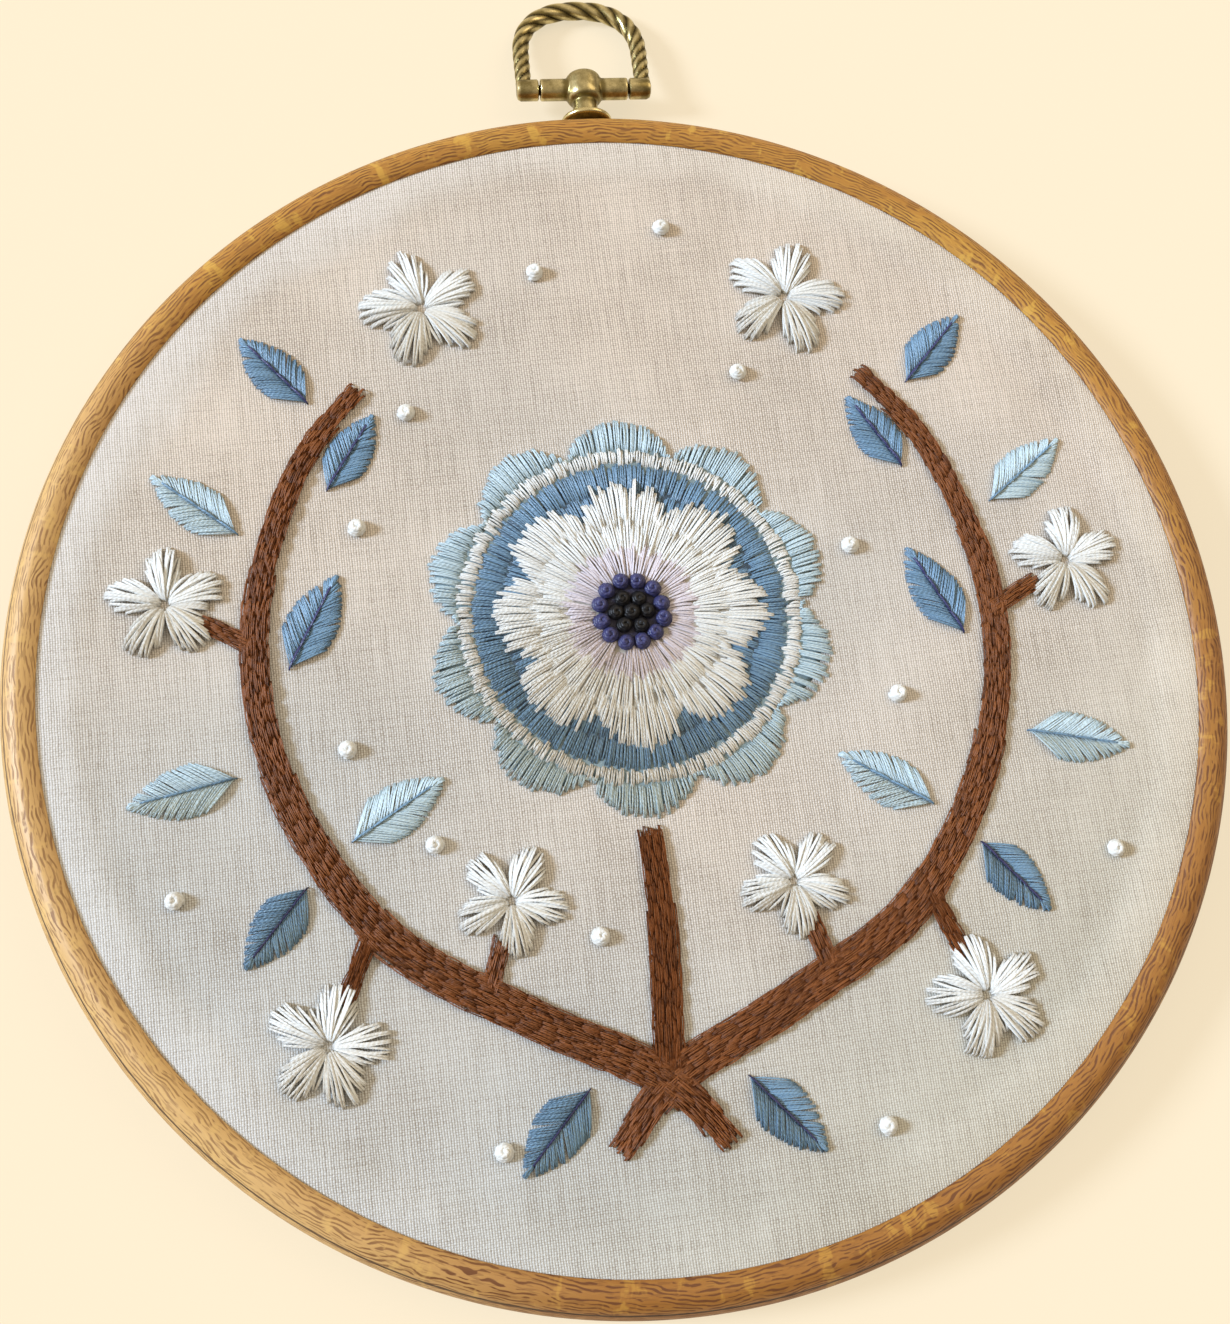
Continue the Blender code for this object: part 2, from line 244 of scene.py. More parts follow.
hoopLook = {
    "steps": 288, "rounding": 3,
    # the mould line's groove is darkened by painted shade
    "lineHeight": 9.3, "lineDepth": 0.14, "lineShade": (0.03, 0.012, 0.006),   # the mould line
    # of these colours, the third is painted shade towards the bottom and right, and the fourth is painted
    # light on the window's side
    "amber": (0.405, 0.185, 0.028), "pale": (0.535, 0.30, 0.048), "shadeRusset": (0.27, 0.105, 0.018),
    "litPale": (0.68, 0.47, 0.21), "umber": (0.135, 0.044, 0.008),
    "linePitch": 0.68,      # between the lines of the grain
    "grainR": 98.0,         # the circle that they are drawn along
    "sectionIn": 4.0, "sectionUp": 5.5, "sectionR": 5.6,    # the section's middle, from the edge and up
    "roughness": 0.48, "specular": 0.55,
}


# the lip stays under the raking light, so that no shadow of it falls on the cloth
def hoopProfile():
    edge, top, inner = hoopEdge, hoopTop, clothOuter - 1.9
    lineR, lineH = edge - 1.2, hoopLook["lineHeight"]
    crown = [(inner, top - 1.75), (inner + 0.1, top - 1.45), (inner + 0.8, top - 0.98),
             (inner + 1.9, top - 0.62), (edge - 3.3, top - 0.66), (edge - 1.95, top - 1.42),
             (lineR - 0.05, lineH + 0.14)]
    side = [(lineR + 0.08, lineH - 0.14), (edge - 0.55, top - 3.6), (edge - 0.2, top - 4.7),
            (edge, top - 6.7), (edge, top - 9.1), (edge - 0.2, 0.7), (edge - 0.8, 0)]
    upper, lower = (map(tuple, catmull(part, hoopLook["rounding"])) for part in (crown, side))
    bore = clothOuter + 0.3
    return [*upper, (lineR - hoopLook["lineDepth"], lineH), *lower, (bore, 0), (bore, top - 1.4)]


# the grain runs round the ring: x and y stay on one circle, z is the way over the ring's section
def woodgrainMaterial():
    look = hoopLook
    material, wire, shader = newMaterial("printed oak grain")
    x, y, z = axes(wire, inMillimetres(wire))
    radius = wire.math("SQRT", x * x + y * y)
    inwards = radius - (hoopEdge - look["sectionIn"])
    over = wire.math("ARCTAN2", z - look["sectionUp"], inwards) * look["sectionR"]
    ringX, ringY = (way / radius * look["grainR"] for way in (x, y))

    def grained(along, across, detail=2.0, roughness=0.5):
        place = combined(wire, ringX * along, ringY * along, over * across)
        return noise(wire, place, 1.0, detail, roughness)

    drift = grained(0.020, 0.034, 1.0)
    wander = grained(0.12, 0.20)
    count = over * (1 / look["linePitch"]) + drift * 12.0 + wander * 6.0
    ridge = wire.math("PINGPONG", count, 0.5) * 2.0
    dash = grained(0.36, 1.3)
    streak = step(wire, ridge + (dash - 0.5) * 1.3, 0.55, 0.83) * step(wire, dash, 0.41, 0.50)
    bare = step(wire, ridge - (dash - 0.5) * 1.2, 0.34, 0.10)
    fine = step(wire, grained(0.40, 3.0, 1.0), 0.54, 0.64)
    # painted light makes the window's side lighter, and painted shade makes the bottom and the right browner
    # and darker
    paintedLight = step(wire, x * -1.0 - y * 0.35, 40.0, 92.0)
    paintedShade = step(wire, y * -1.0 + x * 0.9, 15.0, 95.0)
    fleck = step(wire, grained(0.30, 0.17, 3.0, 0.62), 0.57, 0.665) * (1.0 - paintedShade * 0.35)
    deep = wander * 0.70 - paintedLight * 0.18 + paintedShade * 0.22
    brown = wire.math("MAXIMUM", streak * (0.46 + deep), fine * 0.34) + paintedShade * 0.06
    brown = brown * (1.0 - fleck * 0.66)
    tint = wire.math("MAXIMUM", fleck, bare * 0.45 + step(wire, grained(0.05, 0.15), 0.50, 0.64) * 0.35)
    ground = mixColour(wire, tint, look["amber"], look["pale"])
    # painted shade turns the ground a redder brown towards the bottom and right, and painted light makes it
    # lighter on the window's side
    ground = mixColour(wire, paintedShade * (0.68 - fleck * 0.6), ground, look["shadeRusset"])
    ground = mixColour(wire, paintedLight * 0.60, ground, look["litPale"])
    # painted shade: the mould line's groove is darkened nearly to black
    inward = wire.math("MAXIMUM", hoopEdge - 2.2 - radius, 0.0)
    groove = step(wire, wire.math("ABSOLUTE", z - look["lineHeight"]) + inward * 4.0, 0.34, 0.20)
    colour = mixColour(wire, brown, ground, look["umber"])
    plug(mixColour(wire, groove * 0.85, colour, look["lineShade"]), shader, "Base Color")
    plug(look["roughness"] + brown * 0.14 + fine * 0.05, shader, "Roughness")
    fixed(shader, {"Specular IOR Level": look["specular"]})
    bumped(wire, shader, fine * 0.3 - brown * 0.8, 0.30, 0.10)
    return material


def makeOuterHoop():
    mesh = ringMesh("outerHoop", hoopProfile(), hoopLook["steps"], 50)
    showPiece("outerHoop", mesh, woodgrainMaterial(), "hoop", "woodgrain_hoop", "outer_hoop")


# Inner hoop: the plain ring that the cloth is drawn over, seen only from behind

innerLook = {
    "width": 7.6, "steps": 144, "cream": (0.62, 0.53, 0.40),
    "shade": (0.50, 0.41, 0.29), "roughness": 0.5,
}


def resinMaterial():
    material, wire, shader = newMaterial("moulded cream resin")
    place = inMillimetres(wire)
    cloud = step(wire, noise(wire, place, 0.09, 3), 0.35, 0.65)
    plug(mixColour(wire, cloud, innerLook["cream"], innerLook["shade"]), shader, "Base Color")
    grain = noise(wire, place, 2.5)
    plug(innerLook["roughness"] + grain * 0.15, shader, "Roughness")
    bumped(wire, shader, grain, 0.2, 0.05)
    return material


def makeInnerHoop():
    outer = (innerHigh.x - innerLow.x) / 2
    inner, top = outer - innerLook["width"], innerHigh.z
    corners = [(inner, 0.5), (inner, top - 0.6), (inner + 0.6, top), (outer - 0.9, top),
               (outer - 0.25, top - 0.25), (outer, top - 0.9), (outer, 0.5), (outer - 0.5, 0),
               (inner + 0.5, 0)]
    mesh = ringMesh("innerHoop", corners, innerLook["steps"], 30)
    showPiece("innerHoop", mesh, resinMaterial(), "hoop", "inner_hoop_resin", "inner_hoop")


# Cloth: quilting cotton drawn tight over the inner hoop

clothLook = {
    "warpPitch": 0.417, "weftPitch": 0.378, "weaveTurn": -3.3,
    "thickness": 0.35, "ledgeR": 88.6, "steps": 256, "rings": 84,
    # cool and blush are painted light across the cloth, with random blotches of blush, and the third colour
    # is painted shade at the bottom and right; hollow is painted shade in the weave's hollows; the rim
    # colours are a painted highlight beside the ring
    "cool": (0.605, 0.65, 0.67), "blush": (0.765, 0.695, 0.622), "shadeDun": (0.60, 0.60, 0.525),
    "hollow": (0.20, 0.165, 0.125), "rimHighlightCool": (0.765, 0.79, 0.815), "rimHighlightWarm": (0.74, 0.70, 0.62),
    "roughness": 0.88, "specular": 0.25, "sheen": 0.12,
}
knotPlaces = [(-12, 70), (11, 78), (-44, 25), (43, -8), (-47, -12), (38, 18), (-35, 45), (22, 50),
              (-34, -28), (-74, -34), (76, -36), (-26, -75), (33, -76), (-9, -44)]


def clothMaterial():
    look = clothLook
    material, wire, shader = newMaterial("quilting cotton")
    x, y, z = axes(wire, inMillimetres(wire, look["weaveTurn"]))
    flat = combined(wire, x, y)
    waver = noise(wire, flat, 0.25) - 0.5
    warp = x * (1 / look["warpPitch"]) + waver * 0.9
    weft = y * (1 / look["weftPitch"]) + waver * 0.9
    acrossWarp = wire.math("FRACT", warp)
    acrossWeft = wire.math("FRACT", weft)
    warpRound = acrossWarp * (1.0 - acrossWarp) * 4.0
    weftRound = acrossWeft * (1.0 - acrossWeft) * 4.0
    over = wire.math("SINE", warp * math.pi) * wire.math("SINE", weft * math.pi) * 0.5 + 0.5
    weave = wire.math("MAXIMUM", warpRound * over, weftRound * (1.0 - over) * (0.35 + warpRound * 0.4))
    # each thread has its own thickness, which changes slowly along it
    warpSlub = noise(wire, combined(wire, warp * 0.9, weft * 0.035), 1.0)
    weftSlub = noise(wire, combined(wire, warp * 0.035, weft * 0.9), 1.0)
    slub = warpSlub * 0.62 + weftSlub * 0.38 - 0.5
    bead = noise(wire, combined(wire, warp * 0.8, weft * 0.8), 1.0, 1) - 0.5
    height = weave * (1.0 + slub * 0.8 + bead * 0.5)
    cloud = noise(wire, flat, 0.035, 3)
    blush = noise(wire, flat, 0.014, 1)
    # painted shade in the weave's hollows, mixed with the random tone of the slubs and clouds
    tone = step(wire, height + slub * 0.45 + bead * 0.25 + (cloud - 0.5) * 0.45, -0.20, 0.80)
    # painted light: cool towards the bottom left and pink towards the top right, with random blotches of
    # blush; painted shade then dulls the bottom and right
    blushAndLight = step(wire, y * 0.009 + x * 0.004 + blush * 2.4, 0.0, 2.2)
    lit = mixColour(wire, blushAndLight, look["cool"], look["blush"])
    lit = mixColour(wire, step(wire, x * 0.010 - y * 0.012, 0.45, 1.6) * 0.9, lit, look["shadeDun"])
    colour = mixColour(wire, tone, look["hollow"], lit)
    # painted highlight: lighter beside the ring, cool on the left and warm on the right, less so at the
    # bottom
    radius = wire.math("SQRT", x * x + y * y)
    rimHighlight = 0.58 - step(wire, y * -1.0, 35.0, 90.0) * 0.45
    edge = step(wire, radius + (cloud - 0.5) * 14, 86.0, 92.0) * rimHighlight
    rim = mixColour(wire, step(wire, x, -70.0, 60.0), look["rimHighlightCool"], look["rimHighlightWarm"])
    plug(mixColour(wire, edge * tone, colour, rim), shader, "Base Color")
    fixed(shader, {"Roughness": look["roughness"], "Specular IOR Level": look["specular"],
                   "Sheen Weight": look["sheen"]})
    bumped(wire, shader, height, 0.55, 0.14)
    return material


# the cloth's height above its flat middle at each point, all in mm
def clothRelief(x, y):
    radius = np.hypot(x, y)
    turn = np.arctan2(y, x)
    ledge = 1 / (1 + np.exp(-(radius - clothLook["ledgeR"]) / 0.75)) * clothSag
    pucker = sum(np.sin(turn * n + phase) * size for n, phase, size in
                 ((23, 0.4, 0.035), (41, 2.1, 0.03), (67, 1.3, 0.022), (97, 5.0, 0.016)))
    pucker *= np.clip((radius - 74) / 12, 0, 1) * np.clip((94.5 - radius) / 4, 0, 1)
    sway = (np.sin(x * 0.061 + 0.7) * np.sin(y * 0.052 + 1.9) + np.sin(x * 0.023 - y * 0.037)) * 0.055
    dent = sum(np.exp(-((x - kx) ** 2 + (y - ky) ** 2) / 6.0) for kx, ky in knotPlaces) * -0.14
    roll = np.clip((radius - 93.2) / 1.8, 0, 1.2) ** 2 * -0.12
    return ledge + pucker + sway * np.clip((90 - radius) / 10, 0, 1) + dent + roll


def makeCloth():
    bm = bmesh.new()
    rim = clothOuter - 0.9
    bmesh.ops.create_circle(bm, cap_ends=True, radius=1.0, segments=clothLook["steps"])
    bmesh.ops.poke(bm, faces=bm.faces)
    edges = [e for e in bm.edges if e.is_boundary]
    radii = list(np.linspace(1.0, 92.0, clothLook["rings"])[1:]) + list(np.arange(92.4, rim + 0.1, 0.4))
    turned = [(rim + 0.45, -0.08), (rim + 0.75, -0.3), (rim + 0.88, -0.7), (rim + 0.88, -2.3)]
    for radius, drop in [(r, 0.0) for r in radii] + turned:
        for vert in vertsOf(bmesh.ops.extrude_edge_only(bm, edges=edges)):
            vert.co = Vector((vert.co.x, vert.co.y, 0)).normalized() * radius + Vector((0, 0, drop))
        edges = [e for e in bm.edges if e.is_boundary]
    mesh = meshFrom(bm, "cloth")
    places = meshPlaces(mesh)
    places[:, 2] += stitchFloor + clothRelief(places[:, 0], places[:, 1])
    places[:, 1] += hoopY
    mesh.vertices.foreach_set("co", places.ravel())
    if mesh.polygons[0].normal.z < 0:
        mesh.flip_normals()
    mesh.shade_smooth()
    cloth = showPiece("cloth", mesh, clothMaterial(), "hoop", "cotton_cloth", "embroidered_cloth")
    thicken = cloth.modifiers.new("thickness", "SOLIDIFY")
    thicken.thickness = clothLook["thickness"] * mm
    thicken.offset = -1
    width = 2 * (rim + 0.9 + 2.5) * mm
    math.pi * width * width / 4


# Brass: an antiqued casting, brown in the hollows and bright where it rubs

brassLook = {
    "bright": (0.645, 0.555, 0.30), "aged": (0.192, 0.153, 0.060),
    "hollow": (0.030, 0.020, 0.008), "roughness": 0.27,
}


# the mesh carries "worn", from 0 in a hollow to 1 on a rubbed edge
def brassMaterial():
    material, wire, shader = newMaterial("antiqued brass")
    place = inMillimetres(wire)
    worn = wire.node("ShaderNodeAttribute", {"attribute_name": "worn"}, None, 2)
    cloud = noise(wire, place, 0.55, 3, 0.6)
    speck = noise(wire, place, 5.0, 2, 0.6)
    rub = step(wire, worn + (cloud - 0.5) * 0.7 + (speck - 0.5) * 0.25, 0.55, 1.05)
    deep = step(wire, worn + (cloud - 0.5) * 0.3, 0.52, 0.14)
    colour = mixColour(wire, rub, brassLook["aged"], brassLook["bright"])
    plug(mixColour(wire, deep, colour, brassLook["hollow"]), shader, "Base Color")
    shader.inputs["Metallic"].default_value = 1.0
    plug(brassLook["roughness"] + deep * 0.3 - rub * 0.06 + speck * 0.12, shader, "Roughness")
    bumped(wire, shader, speck * 0.5 + cloud, 0.25, 0.08)
    return material


bailLook = {
    "halfWidth": 10.9,
    "reach": 19.1,          # from the pin's axis to the middle of the top
    "legShare": 0.45,       # the part of the reach that is straight
    "roundness": 0.86,      # under 1 the arch is squarer than half an ellipse
    "stations": 130, "sides": 40,
    "legR": 1.42, "topR": 1.66, "strands": 4, "groove": 0.42,
    "legTurn": 0.80, "topTurn": 0.40,       # radians of twist for each mm
    "stubR": 1.9, "stubStart": 8.3, "stubEnd": 12.3, "pinR": 0.9, "pinStart": 5.1,
}
fittingLook = {
    "ballR": 3.35, "ballTall": 2.85, "roundness": 0.45, "neckR": 2.15, "flangeR": 4.6,
    "barrelR": 1.95, "barrelHalf": 8.0, "steps": 64, "voxel": 0.17,
}
restTilt = math.asin((pinPlace.z - 1.75) / bailLook["reach"])


def bailLine():
    half, reach, rounding = bailLook["halfWidth"], bailLook["reach"], bailLook["roundness"]
    spring = reach * bailLook["legShare"]
    leg = [(-half, spring * k / 8) for k in range(8)]
    arch = []
    for k in range(49):
        a = math.pi * (1 - k / 48)
        x = half * math.copysign(abs(math.cos(a)) ** rounding, math.cos(a))
        arch.append((x, spring + (reach - spring) * abs(math.sin(a)) ** rounding))
    rough = np.array(leg + arch + [(-x, y) for x, y in reversed(leg)])
    along = distances(rough)
    even = np.linspace(0, along[-1], bailLook["stations"])
    return np.column_stack([np.interp(even, along, rough[:, k]) for k in (0, 1)]), even


# a closed tube of radius 1 along Z, made once; arrays carry copies of it to their places
def tubeShape(stations, sides):
    bm = bmesh.new()
    bmesh.ops.create_circle(bm, radius=1.0, segments=sides)
    rim = bm.edges[:]
    for row in range(stations):
        fresh = set(vertsOf(bmesh.ops.extrude_edge_only(bm, edges=rim)))
        bmesh.ops.translate(bm, verts=list(fresh), vec=(0, 0, 1))
        rim = [e for e in bm.edges if e.verts[0] in fresh and e.verts[1] in fresh]
    bmesh.ops.holes_fill(bm, edges=[e for e in bm.edges if e.is_boundary], sides=0)
    bmesh.ops.recalc_face_normals(bm, faces=bm.faces)
    places = np.array([v.co[:] for v in bm.verts])
    row = np.rint(places[:, 2]).astype(int)
    side = np.rint(np.arctan2(places[:, 1], places[:, 0]) / (2 * math.pi) * sides)
    side = np.mod(side, sides).astype(int)
    loops, sizes, around = [], [], []
    for face in bm.faces:
        corners = [loop.vert.index for loop in face.loops]
        shares = side[corners] / sides
        if shares.max() - shares.min() > 0.5 and len(corners) == 4:
            shares = np.where(shares < 0.25, shares + 1, shares)
        loops += corners
        sizes.append(len(corners))
        around += list(shares)
    bm.free()
    return {"row": row, "angle": side * 2 * math.pi / sides, "loops": np.array(loops),
            "sizes": np.array(sizes), "around": np.array(around)}


# copies of a tube: line, side and up are (copies, rows, 3), wide and high are (copies, vertices)
def tubePlaces(shape, line, sideWay, upWay, wide, high):
    row, angle = shape["row"], shape["angle"]
    return (line[:, row] + sideWay[:, row] * (wide * np.cos(angle))[..., None]
            + upWay[:, row] * (high * np.sin(angle))[..., None])


def newBatch():
    return {"places": [], "loops": [], "sizes": [], "uv": [], "tone": [], "count": 0}


def addCopies(batch, places, shape, uv, tone):
    copies, verts = places.shape[:2]
    starts = batch["count"] + np.arange(copies)[:, None] * verts
    batch["places"].append(places.reshape(-1, 3))
    batch["loops"].append((shape["loops"][None] + starts).ravel())
    batch["sizes"].append(np.tile(shape["sizes"], copies))
    batch["uv"].append(uv.reshape(-1, 2))
    batch["tone"].append(tone.ravel())
    batch["count"] += copies * verts


def batchMesh(batch, name, offset=(0, 0, 0)):
    kinds = ("places", "loops", "sizes", "uv", "tone")
    places, loops, sizes, uv, tone = (np.concatenate(batch[kind]) for kind in kinds)
    mesh = bpy.data.meshes.new(name)
    mesh.vertices.add(len(places))
    mesh.vertices.foreach_set("co", (places + np.array(offset)).ravel().astype(np.float32))
    mesh.loops.add(len(loops))
    mesh.loops.foreach_set("vertex_index", loops.astype(np.int32))
    mesh.polygons.add(len(sizes))
    mesh.polygons.foreach_set("loop_start", np.concatenate([[0], np.cumsum(sizes)[:-1]]).astype(np.int32))
    mesh.update(calc_edges=True)
    mesh.uv_layers.new(name="thread").data.foreach_set("uv", uv.ravel().astype(np.float32))
    mesh.attributes.new("tone", "FLOAT", "POINT").data.foreach_set("value", tone.astype(np.float32))
    mesh.shade_smooth()
    return mesh


# adds a shape turned about X on the side named by sign; each profile point has a radius, a place and a tone
def addTurned(bm, profile, sign):
    extra = bmesh.new()
    mark = extra.verts.layers.float.new("tone")
    verts = []
    for radius, place, value in profile:
        verts.append(extra.verts.new((place, radius, 0)))
        verts[-1][mark] = value
    edges = [extra.edges.new(pair) for pair in zip(verts, verts[1:])]
    spinProfile(extra, verts + edges, (1, 0, 0), bailLook["sides"])
    bmesh.ops.scale(extra, verts=extra.verts, vec=(sign, 1, 1))
    mesh = meshFrom(extra, "turned")
    bm.from_mesh(mesh)
    bpy.data.meshes.remove(mesh)


def makeBail():
    look = bailLook
    line, along = bailLine()
    shape = tubeShape(len(line) - 1, look["sides"])
    row = shape["row"]
    ahead = unit(np.gradient(line, axis=0))
    across = np.column_stack([ahead[:, 1], -ahead[:, 0], np.zeros(len(line))])[None]
    swell = np.sin(math.pi * (along / along[-1]))
    radius = look["legR"] + (look["topR"] - look["legR"]) * swell
    rate = look["legTurn"] + (look["topTurn"] - look["legTurn"]) * swell ** 1.5
    turn = np.cumsum(rate) * (along[-1] / len(line))
    lobe = np.abs(np.cos(look["strands"] * (shape["angle"] + turn[row]) / 2)) ** 0.45
    size = (radius[row] - look["groove"] * (1 - lobe))[None]
    middle = np.column_stack([line, np.zeros(len(line))])[None]
    up = np.broadcast_to((0.0, 0.0, 1.0), middle.shape)
    batch = newBatch()
    addCopies(batch, tubePlaces(shape, middle, across, up, size, size), shape,
              np.zeros((1, len(shape["loops"]), 2)), lobe ** 2 * 0.95)
    bm = bmesh.new()
    bm.from_mesh(batchMesh(batch, "rope"))
    bmesh.ops.recalc_face_normals(bm, faces=bm.faces)
    inner, outer, r, pin = look["stubStart"], look["stubEnd"], look["stubR"], look["pinR"]
    for sign in (-1, 1):
        addTurned(bm, [(0, inner, 0.1), (r - 0.25, inner, 0.5), (r, inner + 0.22, 0.9),
                       (r, outer - 0.8, 0.55), (r - 0.3, outer - 0.2, 0.9), (r - 0.9, outer, 0.7),
                       (0, outer, 0.5)], sign)
        addTurned(bm, [(0, look["pinStart"], 0.1), (pin, look["pinStart"], 0.1), (pin, inner + 0.3, 0.1),
                       (0, inner + 0.3, 0.1)], sign)
    mesh = meshFrom(bm, "hangerBail", False)
    mesh.attributes["tone"].name = "worn"
    mesh.transform(Matrix.Translation(pinPlace) @ Matrix.Rotation(-restTilt, 4, "X"))
    mesh.shade_smooth()
    mesh.set_sharp_from_angle(angle=math.radians(40))
    showPiece("hangerBail", mesh, brassMaterial(), "bail", "antique_brass", "hanger_bail")


def turnedShell(points, axis):
    bm = bmesh.new()
    verts = [bm.verts.new(point) for point in points]
    edges = [bm.edges.new(pair) for pair in zip(verts, verts[1:])]
    spinProfile(bm, verts + edges, axis, fittingLook["steps"])
    return meshFrom(bm, "shell")


# the flange, neck, ball and barrel melt together as one casting
def makeFitting():
    look = fittingLook
    seat = hoopEdge + 0.3 - (pinPlace.y - hoopY)
    flange, neck, barrel, half = look["flangeR"], look["neckR"], look["barrelR"], look["barrelHalf"]
    ball = [(look["ballR"] * math.cos(t) ** look["roundness"],
             look["ballTall"] * math.copysign(abs(math.sin(t)) ** look["roundness"], t))
            for t in np.linspace(-1.1, 1.5, 24)]
    post = [(0, seat), (flange - 0.1, seat), (flange, seat + 0.3), (flange, seat + 0.75),
            (flange - 0.35, seat + 1.0), (flange - 1.2, seat + 1.0), (neck + 0.7, seat + 1.3),
            (neck + 0.15, seat + 2.0), (neck + 0.1, -3.0), *ball, (0, look["ballTall"])]
    rod = [(0, -half), (barrel - 0.2, -half), (barrel, -half + 0.2),
           (barrel, half - 0.2), (barrel - 0.2, half), (0, half)]
    bm = bmesh.new()
    for points, axis in (([(r, h, 0) for r, h in post], (0, 1, 0)), ([(h, r, 0) for r, h in rod], (1, 0, 0))):
        mesh = turnedShell(points, axis)
        bm.from_mesh(mesh)
        bpy.data.meshes.remove(mesh)
    rough = placed("rough", meshFrom(bm, "rough", False))
    melt = rough.modifiers.new("melt", "REMESH")
    melt.mode = "VOXEL"
    melt.voxel_size = look["voxel"]
    soften = rough.modifiers.new("soften", "SMOOTH")
    soften.iterations = 4
    bpy.context.view_layer.update()
    mesh = bpy.data.meshes.new_from_object(rough.evaluated_get(bpy.context.evaluated_depsgraph_get()))
    bpy.data.objects.remove(rough, do_unlink=True)
    mesh.name = "hangerFitting"
    x, y, z = meshPlaces(mesh).T
    atPost, atRod = np.hypot(x, z), np.hypot(y, z)
    ends = np.clip((np.abs(x) - half + 0.5) / 0.3, 0, 1) * (atRod > barrel - 0.35)
    rim = (atPost > flange - 0.5) & (y < seat + 1.3)
    crook = np.exp(-((atPost - neck) ** 2) / 0.5) * np.exp(-((y + 2.6) ** 2))
    collar = np.exp(-((np.abs(x) - look["ballR"]) ** 2) / 0.25) * (atRod < barrel + 0.5)
    worn = np.clip(0.80 + ends * 0.5 + rim * 0.45 - crook * 0.35 - collar * 0.3, 0, 1)
    mesh.attributes.new("worn", "FLOAT", "POINT").data.foreach_set("value", worn.astype(np.float32))
    mesh.transform(Matrix.Translation(pinPlace))
    mesh.shade_smooth()
    brass = bpy.data.materials["antiqued brass"]
    showPiece("hangerFitting", mesh, brass, "hoop", "antique_brass", "hanger_fitting")


# Thread: stranded cotton, a little shiny, with the twist of its plies

# lit colour, colour of the painted shade in the hollows and at the stitch ends, roughness, sheen, gloss and
# slot
threadLook = {
    "white": ((0.765, 0.80, 0.80), (0.375, 0.35, 0.30), 0.5, 0.12, 0.5, "white_thread"),
    "lavender": ((0.67, 0.635, 0.70), (0.35, 0.30, 0.32), 0.5, 0.12, 0.5, "white_thread"),
    "ice": ((0.555, 0.715, 0.80), (0.165, 0.24, 0.27), 0.42, 0.12, 0.5, "ice_blue_thread"),
    "denim": ((0.19, 0.345, 0.515), (0.018, 0.040, 0.068), 0.38, 0.06, 0.5, "denim_thread"),
    "navy": ((0.040, 0.045, 0.16), (0.006, 0.006, 0.028), 0.4, 0.03, 0.5, "navy_thread"),
    "black": ((0.010, 0.010, 0.012), (0.003, 0.003, 0.004), 0.4, 0.0, 0.3, "navy_thread"),
    "brown": ((0.235, 0.078, 0.020), (0.036, 0.009, 0.002), 0.55, 0.0, 0.3, "brown_thread"),
}
threadTwist = {"pitch": 0.75, "fibre": 26.0}


def threadMaterial(colour):
    found = bpy.data.materials.get("thread " + colour)
    if found:
        return found
    light, shadeColour, roughness, sheen, gloss, slotName = threadLook[colour]
    material, wire, shader = newMaterial("thread " + colour)
    along, around, other = axes(wire, wire.node("ShaderNodeUVMap", {"uv_map": "thread"}))
    tone = wire.node("ShaderNodeAttribute", {"attribute_name": "tone"}, None, 2)
    ply = wire.math("SINE", (along * (1 / threadTwist["pitch"]) + around * 2.0) * (2 * math.pi))
    fibres = combined(wire, along * 0.9, (around + along * 0.25) * threadTwist["fibre"], tone * 7)
    hairs = noise(wire, fibres, 1.0, 2, 0.6)
    # painted shade: a low tone and the twist between the plies turn the thread towards its shade colour
    shade = step(wire, tone * 0.8 + ply * 0.07 + (hairs - 0.5) * 1.1, 0.0, 0.85)
    plug(mixColour(wire, shade, shadeColour, light), shader, "Base Color")
    plug(roughness + (hairs - 0.5) * 0.3, shader, "Roughness")
    fixed(shader, {"Sheen Weight": sheen, "Specular IOR Level": gloss})
    bumped(wire, shader, ply * 0.5 + hairs * 0.9, 0.5, 0.07)
    return material


stitchShape = tubeShape(7, 6)
stitchLook = {"plunge": 0.34, "sink": 0.25, "padShade": 0.12}


